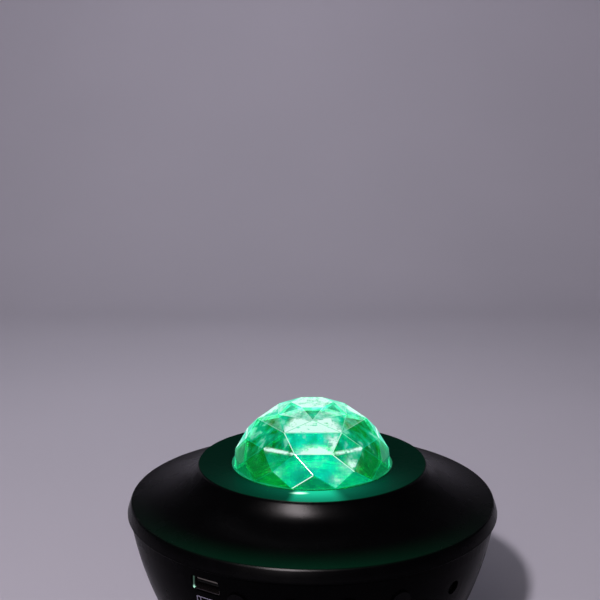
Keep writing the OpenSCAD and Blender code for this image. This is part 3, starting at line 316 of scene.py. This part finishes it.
def tongue_with_painted_highlight(name, color):
    """Black plastic, with a warm highlight painted along its top edge."""
    material, tree = new_material(name)
    place = object_place(tree)
    grain = noise(tree, place, GRAIN, detail=3)
    z = axes(tree, place)[2]
    return finished(material, {
        "Base Color": mottled(tree, grain, color),
        "Roughness": spread(tree, grain, 0.3, 0.4),
        "Specular IOR Level": 0.03,
        # The painted highlight, as emission in a thin band under the top edge
        "Emission Color": (1.0, 0.84, 0.86, 1),
        "Emission Strength": ramp(tree, z, TONGUE_TOP - 0.75 * MM, TONGUE_TOP - 0.6 * MM, 0.0, 0.07),
        "Normal": bump(tree, grain, GRAIN_DEPTH),
    })


def rubber(name, color):
    """Soft rubber: dull, with a fine pebbled skin and patches of pale dust."""
    material, tree = new_material(name)
    place = object_place(tree)
    dust = noise(tree, place, 3 * MM, detail=5)
    dusty = (0.12, 0.115, 0.11, 1)
    return finished(material, {
        "Base Color": blended(tree, spread(tree, dust, 0, 0.5, 0.45, 0.75), opaque(color), dusty),
        "Roughness": spread(tree, dust, 0.72, 0.9),
        "Specular IOR Level": 0.3,
        "Normal": bump(tree, cells(tree, place, 0.5 * MM), 0.03 * MM),
    })


def clear_plastic_painted_glow(name, color, glow, strength):
    """Clear optic with a painted glow, in ripples and streaks, that stands in for the light of the lamps under
    it.
    """
    material, tree = new_material(name)
    place = object_place(tree)
    ripples = cells(tree, place, 5 * MM, feature="SMOOTH_F1")
    streaks = noise(tree, place, 2.5 * MM, detail=4)
    light = blended(tree, spread(tree, ripples, 1, 0, 0.1, 0.6), scaled(glow, 0.25), opaque(glow))
    shade = blended(tree, spread(tree, streaks, 0, 1), (0.5, 0.5, 0.5, 1), (1, 1, 1, 1))
    return finished(material, {
        "Base Color": opaque(color),
        "Roughness": 0.06,
        "IOR": 1.49,
        "Transmission Weight": 0.7,
        "Emission Color": blended(tree, 1.0, light, shade, "MULTIPLY"),
        "Emission Strength": strength,
    })


def glowing(name, color, strength):
    """A lamp that is lit: brightest at its centre."""
    material, tree = new_material(name)
    facing = node(tree, "LayerWeight", {"Blend": 0.4}).outputs["Facing"]
    return finished(material, {
        "Base Color": (0.8, 0.8, 0.6, 1),
        "Roughness": 0.25,
        "Emission Color": blended(tree, facing, opaque(color), scaled(color, 0.5)),
        "Emission Strength": strength,
    })


# Colours of the light painted on the dome; BODY_TINT is its plastic's own colour
DEEP_GREEN_GLOW = (0.0, 0.11, 0.003, 1)
MINT_GLOW = (0.002, 0.70, 0.50, 1)
HOT_GLOW = (0.75, 0.99, 0.97, 1)
BODY_TINT = (0.01, 0.35, 0.09, 1)
NO_GLOW = (0, 0, 0, 1)


def dome_glass():
    """Clear green plastic with painted light: each facet glows by its own share, in streaks; arrises run
    bright.
    """
    material, tree = new_material("dome_plastic")
    place = object_place(tree)
    shares = [node(tree, "Attribute", attribute_name=name) for name in ("glow", "hot", "line", "skin")]
    glow, hot, line, skin = (share.outputs["Fac"] for share in shares)
    # Painted patches where the dome's light is dimmer
    glow_patches = noise(tree, place, 5 * MM, detail=4, roughness=0.6)
    upright = noise(tree, object_place(tree, (1, 1, 0.3)), 1.6 * MM, detail=5, roughness=0.6)
    level = noise(tree, object_place(tree, (0.3, 0.3, 1.6)), 1.6 * MM, detail=5, roughness=0.6)
    streaks = spread(tree, blended(tree, 0.5, upright, level), 0.1, 1.9, 0.38, 0.62)
    # Painted glow where the dome is seen edge-on
    edge = node(tree, "LayerWeight", {"Blend": 0.35}).outputs["Facing"]
    rim = ramp(tree, edge, 0.48, 0.8, 0.0, 0.72)

    # Above its lower third, painted streaks stand in for the light that the wall's inner facets draw out
    upper = ramp(tree, axes(tree, place)[2], COVER_TOP + 5 * MM, COVER_TOP + 15 * MM, 0.0, 1.0)
    drawn = noise(tree, object_place(tree, (1, 1, 0.3)), 5 * MM, detail=2.5, roughness=0.5)
    uneven = math(tree, "MULTIPLY", upper, spread(tree, drawn, -0.3, 0.3, 0.36, 0.64))
    wisps = math(tree, "MULTIPLY", upper, ramp(tree, drawn, 0.56, 0.66, 0.0, 0.2))

    # Painted light: green from deep to mint, white where it is hot, and hardly anything from the wall's inner
    # side
    lit = math(tree, "ADD", math(tree, "ADD", glow, rim), uneven, clamp=True)
    body = blended(tree, lit, DEEP_GREEN_GLOW, MINT_GLOW)
    body = blended(tree, spread(tree, glow_patches, 0.62, 1.1), NO_GLOW, body)
    white = math(tree, "ADD", hot, ramp(tree, edge, 0.42, 0.8, 0.0, 0.05))
    veil = math(tree, "ADD", math(tree, "MULTIPLY", white, streaks, clamp=True), wisps, clamp=True)
    light = blended(tree, math(tree, "MAXIMUM", veil, line, clamp=True), body, HOT_GLOW)
    return finished(material, {
        "Base Color": BODY_TINT,
        "Roughness": 0.03,
        "IOR": 1.25,
        "Specular IOR Level": 0.15,
        "Transmission Weight": 0.9,
        "Emission Color": blended(tree, skin, NO_GLOW, light),
        "Emission Strength": 0.9,
    })


BLACK = (0.0005, 0.0005, 0.0007)
STEEL = (0.62, 0.62, 0.64)

# One entry for each material slot of the record: what makes it, and with what
FINISHES = {
    "cover_plastic": lambda n: cover_with_painted_light(n, BLACK, 0.27),
    "bowl_plastic": lambda n: moulded(n, BLACK, 0.26, depth=0.004 * MM, wander=0.02, specular=0.012),
    "button_plastic": lambda n: moulded(n, BLACK, 0.22, depth=0.004 * MM, wander=0.04, specular=0.035),
    "base_plastic": lambda n: moulded(n, (0.014, 0.014, 0.015), 0.55, grain=0.5 * MM, depth=0.04 * MM),
    "foot_rubber": lambda n: rubber(n, (0.02, 0.02, 0.02)),
    "surround_rubber": lambda n: rubber(n, (0.015, 0.015, 0.015)),
    "screw_steel": lambda n: metal(n, STEEL, 0.32),
    "clamp_steel": lambda n: metal(n, (0.7, 0.71, 0.73), 0.28, streak=(1, 0.05, 1)),
    "tray_plastic": lambda n: moulded(n, (0.6, 0.6, 0.58), 0.5),
    "sink_aluminium": lambda n: metal(n, (0.75, 0.76, 0.78), 0.4, streak=(1, 0.04, 1)),
    "led_board_aluminium": lambda n: moulded(n, (0.8, 0.8, 0.8), 0.4),
    "led_phosphor": lambda n: glowing(n, (0.12, 1.0, 0.6), 2.0),
    "reflector_chrome": lambda n: metal(n, (0.9, 0.9, 0.9), 0.12, depth=0.001 * MM, wander=0.04),
    "tower_plastic": lambda n: moulded(n, (0.02, 0.02, 0.022), 0.45),
    "barrel_brass": lambda n: metal(n, (0.78, 0.58, 0.26), 0.25, streak=(1, 1, 12)),
    # The two clear optics carry a painted glow: its colour and its strength
    "optic_plastic": lambda n: clear_plastic_painted_glow(n, (0.85, 0.93, 1.0), (0.02, 0.7, 0.3), 0.1),
    "washer_plastic": lambda n: moulded(n, (0.8, 0.78, 0.7), 0.42),
    "gear_plastic": lambda n: moulded(n, (0.84, 0.83, 0.78), 0.38),
    "lens_plastic": lambda n: clear_plastic_painted_glow(n, (0.7, 0.97, 0.85), (0.01, 0.6, 0.2), 0.2),
    "pin_steel": lambda n: metal(n, (0.68, 0.68, 0.7), 0.2, streak=(1, 1, 20)),
    "can_steel": lambda n: metal(n, (0.66, 0.67, 0.69), 0.3, streak=(1, 1, 0.05)),
    "end_cap_plastic": lambda n: moulded(n, (0.02, 0.05, 0.22), 0.45),
    "magnet_ferrite": lambda n: moulded(n, (0.03, 0.03, 0.032), 0.6, depth=0.03 * MM),
    "core_steel": lambda n: metal(n, (0.4, 0.39, 0.38), 0.4, streak=(1, 1, 14)),
    "board_laminate": lambda n: moulded(n, (0.006, 0.09, 0.03), 0.35, coat=0.5),
    "component_plastic": lambda n: moulded(n, (0.012, 0.012, 0.013), 0.5),
    "switch_plastic": lambda n: moulded(n, (0.02, 0.02, 0.022), 0.45),
    "socket_steel": lambda n: socket_metal_with_painted_glint(n, (0.045, 0.04, 0.042), 0.3),
    "tongue_plastic": lambda n: tongue_with_painted_highlight(n, (0.004, 0.004, 0.004)),
    "contact_brass": lambda n: metal(n, (0.85, 0.66, 0.28), 0.22),
    "jack_plastic": lambda n: moulded(n, (0.01, 0.01, 0.011), 0.42),
    "basket_steel": lambda n: moulded(n, (0.025, 0.025, 0.027), 0.4, specular=0.6),
    "cone_paper": lambda n: moulded(n, (0.03, 0.03, 0.031), 0.75, grain=0.8 * MM, depth=0.05 * MM),
}


def dress_nodes():
    """Gives every CAD node the finish of its material slot. The dome's node is replaced, so it needs none."""
    made = {slot: build(slot) for slot, build in FINISHES.items()}
    for row in frame["record"]["subparts"]:
        if row["material_slot"] in made:
            mesh = frame["nodes"][row["node"]].data
            mesh.materials.clear()
            mesh.materials.append(made[row["material_slot"]])
    return made


# ---- making pieces

def add_object(name, data):
    """Puts an object with some data into the scene."""
    made = bpy.data.objects.new(name, data)
    bpy.context.scene.collection.objects.link(made)
    return made


def mesh_of(name):
    """A copy of a node's mesh, to be worked on."""
    mesh = bmesh.new()
    mesh.from_mesh(frame["nodes"][name].data)
    return mesh


def add_piece(name, mesh, finish):
    """Puts a worked mesh into the scene."""
    data = bpy.data.meshes.new(name)
    mesh.to_mesh(data)
    mesh.free()
    data.materials.append(finish)
    return add_object(name, data)


# ---- dome

ARRIS = 0.2 * MM     # width of the polished arrises
LOBE = 120           # degrees from one side of the dome painted bright to the next
LOBE_MIDDLE = 1      # bearing of the middle of the first side painted bright
INNER_LIGHT = 0.04   # share of the painted light that the wall's inner side shows

# The middles of each ring's facets lie under these shares of the dome's height: the triangles that stand on
# the collar, the kites, the triangles between the kites' tops, the shoulder, the band and the crown's sides
FOOT, KITES, BETWEEN, SHOULDER, BAND, CROWN = 0.12, 0.3, 0.48, 0.68, 0.9, 0.97


def off_lobe(point):
    """Degrees from the middle of the nearest bright side."""
    bearing = degrees(atan2(point.x, -point.y))
    return (bearing - LOBE_MIDDLE + LOBE / 2) % LOBE - LOBE / 2


def height_of(point):
    """Share of the dome's height over the collar."""
    return (point.z - COLLAR_FOOT) / (DOME_TOP - COLLAR_FOOT)


def bell(value, middle, width):
    return exp(-((value - middle) / width) ** 2)


def ramp_to(value, none, full):
    """0 at one value, 1 at another, straight between them."""
    return min(1.0, max(0.0, (value - none) / (full - none)))


def scatter(number, seed):
    """A fixed share from 0 to 1 for a number."""
    return (sin(number * 12.9898 + seed * 78.233) * 43758.5453) % 1.0


def facet_glow(side, height):
    """How bright a green light is painted on a facet, from where its middle lies on the dome."""
    beam = bell(side, 4, 30)
    if height < FOOT:
        return 0.03 + 0.36 * bell(side, 24, 30)
    if height < KITES:
        return 0.03 + min(0.92, 1.25 * bell(side, 3, 21))
    if height < BETWEEN:
        return 0.08 + 0.8 * beam
    if height < SHOULDER:
        return 0.31 + 0.65 * beam
    if height < BAND:
        return 0.3 + 0.6 * beam
    return 0.5 if abs(side) < 25 else 0.66


def facet_heat(side, height, at_side, at_height):
    """How white the light painted on a point of a facet is, from where the facet's middle lies and where the
    point lies.
    """
    if height < FOOT:
        return 0.0
    if height < KITES:                 # painted white haze at two corners of the kite right of the beam
        corner = bell(at_side, 27, 6) * bell(at_height, 0.3, 0.12)
        low = bell(at_side, 17, 4) * bell(at_height, 0.1, 0.07)
        left = 0.5 * bell(at_side, -27, 4) * bell(at_height, 0.2, 0.08)
        return 0.32 * max(corner, low, left)
    if height < BETWEEN:               # painted thin bright upper edges beside the beam
        width = 0.005 + 0.014 * ramp_to(abs(at_side), 16, 44)
        upper = bell(at_height, 0.478, width) * bell(abs(side), 30, 8)
        apex = bell(at_side, 31, 4) * bell(at_height, 0.3, 0.08)
        return max(1.3 * upper, 0.9 * apex)
    if height < SHOULDER:              # painted hot light at the foot of the front facet, and on its right-hand side
        if abs(side) >= 20:
            return 0.0
        foot = 4.5 * bell(at_height, 0.49, 0.05) * bell(at_side, 2, 9)
        right = 1.5 * bell(at_side, 20, 3) * bell(at_height, 0.63, 0.1)
        return max(foot, right)
    if height < BAND:                  # painted hot light in front, under the crown
        if abs(side) > 45:
            return 0.1
        ends = 1.0 if abs(at_side) < 24 else bell(abs(at_side), 24, 7)
        return 1.5 * ramp_to(at_height, 0.90, 0.86) * ends
    if height < CROWN:
        return 0.05 + 0.26 * bell(abs(side), 30, 16)
    return 0.95                        # the flat top


def arris_light(side, height):
    """How hot the light painted on a polished arris is."""
    if height < 0.46 and -13.5 < side < -0.5:      # the right-hand edges of the kite left of the beam
        return 1.0
    if height < FOOT:
        return 0.0
    if height < 0.46 and 17 < side < 30 and height > 0.2 + 0.02 * (30 - side):
        return 0.8                                 # the upper right-hand edge of the kite right of it
    if abs(height - 0.48) < 0.02 and abs(side) < 42:
        return 0.85                                # the edges that run level over the kites
    if 0.5 < height < 0.72 and 12 < abs(side) < 31:
        return 0.75                                # both sides of the front facet
    if height > 0.7 and abs(side) < 40:
        return 0.45
    chance = scatter(round(side / 3) + round(height * 60) * 5, 2)
    return 0.25 if chance > 0.75 and height > 0.5 else 0.0


def cut_dome(finish):
    """The dome with its arrises polished round. Its facets are the CAD solid's own, and each face carries
    shares of painted light for the dome's material.
    """
    mesh = mesh_of("crystal_dome")
    # Every layer is made before a face is taken hold of, because making one moves the faces
    glow, line, skin = (mesh.faces.layers.float.new(name) for name in ("glow", "line", "skin"))
    cell = mesh.faces.layers.int.new("cell")
    heat = mesh.loops.layers.float.new("hot")
    bmesh.ops.remove_doubles(mesh, verts=mesh.verts, dist=0.002 * MM)
    bmesh.ops.dissolve_limit(mesh, angle_limit=radians(0.5), verts=mesh.verts, edges=mesh.edges)
    middle = Vector((0, 0, COLLAR_FOOT - 8 * MM))

    def faces_out(face):
        centre = face.calc_center_median()
        return (centre - middle).dot(face.normal) > 0 and centre.z > COLLAR_FOOT

    # What bounds the outer facets: every sharp edge above the dome's foot between two outer faces
    arrises = [
        e for e in mesh.edges
        if len(e.link_faces) == 2 and e.calc_face_angle(0) > radians(3)
        and min(v.co.z for v in e.verts) > COLLAR_FOOT - 0.3 * MM and all(faces_out(f) for f in e.link_faces)
    ]
    made = bmesh.ops.bevel(mesh, geom=arrises, offset=ARRIS, segments=1, profile=0.5, affect="EDGES")
    strips = set(made["faces"])
    seats = []                         # where the middle of each facet lies
    for face in mesh.faces:
        centre = face.calc_center_median()
        seat = off_lobe(centre), height_of(centre)
        strip, outer = face in strips, faces_out(face)
        face.smooth = False
        face[skin] = 1.0 if outer else INNER_LIGHT
        face[glow] = facet_glow(*seat) + (0.12 if strip else 0.0)
        face[line] = arris_light(*seat) if strip else 0.0
        face[cell] = len(seats) if outer and not strip else -1
        seats.append(seat)

    # Small cells, so that a facet's painted white haze can lie at one corner and not at another
    bmesh.ops.triangulate(mesh, faces=[f for f in mesh.faces if f[cell] >= 0])
    for _ in range(3):
        edges = [e for e in mesh.edges if any(f[cell] >= 0 for f in e.link_faces)]
        bmesh.ops.subdivide_edges(mesh, edges=edges, cuts=1, use_grid_fill=True)
    for face in mesh.faces:
        if face[cell] >= 0:
            for loop in face.loops:
                spot = loop.vert.co
                loop[heat] = facet_heat(*seats[face[cell]], off_lobe(spot), height_of(spot))
    dome = add_piece("dome_cut", mesh, finish)
    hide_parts("crystal_dome")
    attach(dome, "housing")


# ---- housing

def smooth_copy(name, finish):
    """The same shape as a CAD node, shaded smooth across its curves, so that highlights run without steps."""
    mesh = mesh_of(name)
    bmesh.ops.remove_doubles(mesh, verts=mesh.verts, dist=0.001 * MM)
    skin = add_piece(name + "_skin", mesh, finish)
    skin.data.shade_smooth()
    skin.data.set_sharp_from_angle(angle=radians(14))
    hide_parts(name)
    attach(skin, "housing")


# ---- speaker

SECTORS = 24         # pieces that the surround is cut into, along its radii


def bend_surround(finish):
    """The speaker's surround, cut into sectors along its radii, each its own piece."""
    step = radians(360 / SECTORS)
    for i in range(SECTORS):
        mesh = mesh_of("speaker_surround")
        for turn, drop in ((i * step, "clear_inner"), ((i + 1) * step, "clear_outer")):
            whole = mesh.verts[:] + mesh.edges[:] + mesh.faces[:]
            side = (cos(turn), -sin(turn), 0)
            bmesh.ops.bisect_plane(mesh, geom=whole, plane_co=(0, 0, 0), plane_no=side, **{drop: True})
        sector = add_piece(f"surround_{i:02}", mesh, finish)
        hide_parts("speaker_surround")
        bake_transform(sector)


# ---- printed sign

SIGN_LEFT, SIGN_RIGHT = -35.0, -29.4           # bearings of its ends
SIGN_NECK = SIGN_LEFT + 1.3                    # where the stick's plug meets its body
SIGN_TOP, SIGN_LOW = 59.6 * MM, 55.2 * MM
SIGN_LINE = 0.45 * MM                          # width of its lines
SIGN_LIFT = 0.03 * MM                          # how far the print lies off the bowl
SIGN_STEPS = 14                                # flat pieces of one line


def add_sign(finish):
    """A memory stick's outline, printed on the bowl under the socket: strips laid on the bowl's surface."""
    solid = mesh_of("bowl_housing")
    bowl = BVHTree.FromBMesh(solid)
    solid.free()
    outside = 0.2                      # any radius beyond the bowl

    def on_bowl(bearing, z):
        out = Vector((sin(radians(bearing)), -cos(radians(bearing)), 0))
        hit, normal, _, _ = bowl.ray_cast(Vector((0, 0, z)) + out * outside, -out)
        return hit + normal * SIGN_LIFT

    verts, faces = [], []
    line_turn = degrees(SIGN_LINE / BOWL_R)
    level_lines = [((SIGN_LEFT, z), (SIGN_RIGHT, z)) for z in (SIGN_TOP, SIGN_LOW)]
    upright_lines = [((b, SIGN_LOW), (b, SIGN_TOP)) for b in (SIGN_LEFT, SIGN_NECK, SIGN_RIGHT)]
    for (b0, z0), (b1, z1) in level_lines + upright_lines:
        wide, high = (0, SIGN_LINE) if z0 == z1 else (line_turn, 0)
        first = len(verts)
        for i in range(SIGN_STEPS + 1):
            b, z = b0 + (b1 - b0) * i / SIGN_STEPS, z0 + (z1 - z0) * i / SIGN_STEPS
            verts += [on_bowl(b + side * wide, z + side * high) for side in (-0.5, 0.5)]
        for a in range(first, first + 2 * SIGN_STEPS, 2):
            faces.append((a, a + 1, a + 3, a + 2))
    data = bpy.data.meshes.new("socket_sign")
    data.from_pydata(verts, [], faces)
    data.materials.append(finish)
    sign = add_object("socket_sign", data)
    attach(sign, "housing")


# ---- stage, light and camera

SENSOR = 36                                    # mm
FOCAL = 1000.8 / 600 * SENSOR                  # from pixels of a picture that is 600 pixels wide
CAMERA_AT = Vector((0, -0.43017, 0.24469))
PITCH, YAW, ROLL = radians(10.39), radians(-0.7), radians(-0.13)
MIDDLE = Vector((0, 0, 0.08))                  # of the object, for the lights


def add_camera():
    ahead = Vector((sin(YAW) * cos(PITCH), cos(YAW) * cos(PITCH), -sin(PITCH)))
    right = Vector((cos(YAW), -sin(YAW), 0))
    up = right.cross(ahead)
    rolled_right = cos(ROLL) * right + sin(ROLL) * up
    rolled_up = cos(ROLL) * up - sin(ROLL) * right
    data = bpy.data.cameras.new("camera")
    data.lens = FOCAL
    data.sensor_width = SENSOR
    camera = add_object("camera", data)
    turn = Matrix((rolled_right, rolled_up, -ahead)).transposed()
    camera.matrix_world = Matrix.Translation(CAMERA_AT) @ turn.to_4x4()
    bpy.context.scene.camera = camera


def add_stage():
    """A pale sweep: a floor that curves up into a wall far behind the object."""
    near_y, wall_y, bend, half_width, top = -2.5, 1.35, 0.55, 3.0, 0.56
    steps = 24
    profile = [(near_y, 0.0)]
    for i in range(steps + 1):
        a = radians(90 * i / steps)
        profile.append((wall_y - bend + bend * sin(a), bend - bend * cos(a)))
    profile.append((wall_y, top))
    verts = [(x, y, z) for y, z in profile for x in (-half_width, half_width)]
    faces = [(2 * i, 2 * i + 1, 2 * i + 3, 2 * i + 2) for i in range(len(profile) - 1)]
    data = bpy.data.meshes.new("sweep")
    data.from_pydata(verts, [], faces)
    data.shade_smooth()
    material, tree = new_material("sweep")
    slow = noise(tree, object_place(tree), 0.35, detail=2)
    grey, paler = (0.5, 0.47, 0.555, 1), (0.53, 0.495, 0.585, 1)
    data.materials.append(finished(material, {
        "Base Color": blended(tree, spread(tree, slow, 0, 1), grey, paler),
        "Roughness": 0.85,
        "Specular IOR Level": 0.2,
    }))
    sweep = add_object("sweep", data)


def add_area_light(name, at, aim, size, watts, color, stretch=1.0):
    """A round light, or one that is stretch times as tall as it is wide."""
    data = bpy.data.lights.new(name, "AREA")
    data.shape = "ELLIPSE"
    data.size = size
    data.size_y = size * stretch
    data.energy = watts
    data.color = color
    light = add_object(name, data)
    light.location = at
    light.rotation_mode = "QUATERNION"
    light.rotation_quaternion = (aim - at).to_track_quat("-Z", "Y")
    return light


def around(bearing, elevation, distance):
    """A point seen from the object's middle at a bearing and an elevation, both in degrees."""
    b, e = radians(bearing), radians(elevation)
    return MIDDLE + distance * Vector((sin(b) * cos(e), -cos(b) * cos(e), sin(e)))


def add_lights():
    """A small light for the shadow, a large one that shows only as the cover's sheen, and one for the wall."""
    main = add_area_light("main", around(-18, 39.5, 1.13), MIDDLE, size=0.07, watts=11.5,
                          color=(1.0, 0.96, 0.97))
    main.visible_glossy = False
    gleam = add_area_light("gleam", around(-16.5, 40, 1.1), MIDDLE, size=0.36, watts=92.0,
                           color=(1.0, 0.9, 0.93), stretch=2.6)
    gleam.visible_diffuse = False
    add_area_light("back", Vector((-0.15, 0.3, 0.75)), Vector((0, 1.1, 0.3)), size=0.5, watts=2.1,
                   color=(0.95, 0.97, 1.0))
    world = bpy.data.worlds.new("studio")
    world.use_nodes = True
    background = world.node_tree.nodes["Background"].inputs
    background["Color"].default_value = (0.62, 0.6, 0.68, 1)
    background["Strength"].default_value = 0.11
    bpy.context.scene.world = world


def set_colours():
    view = bpy.context.scene.view_settings
    view.view_transform = "Standard"
    view.look = "None"
    view.exposure = 0.0


add_camera()
add_stage()
add_lights()
set_colours()
finishes = dress_nodes()
smooth_copy("top_cover", finishes["cover_plastic"])
smooth_copy("bowl_housing", finishes["bowl_plastic"])
cut_dome(dome_glass())
bend_surround(finishes["surround_rubber"])
add_sign(moulded("sign_print", (0.14, 0.13, 0.19), 0.5))
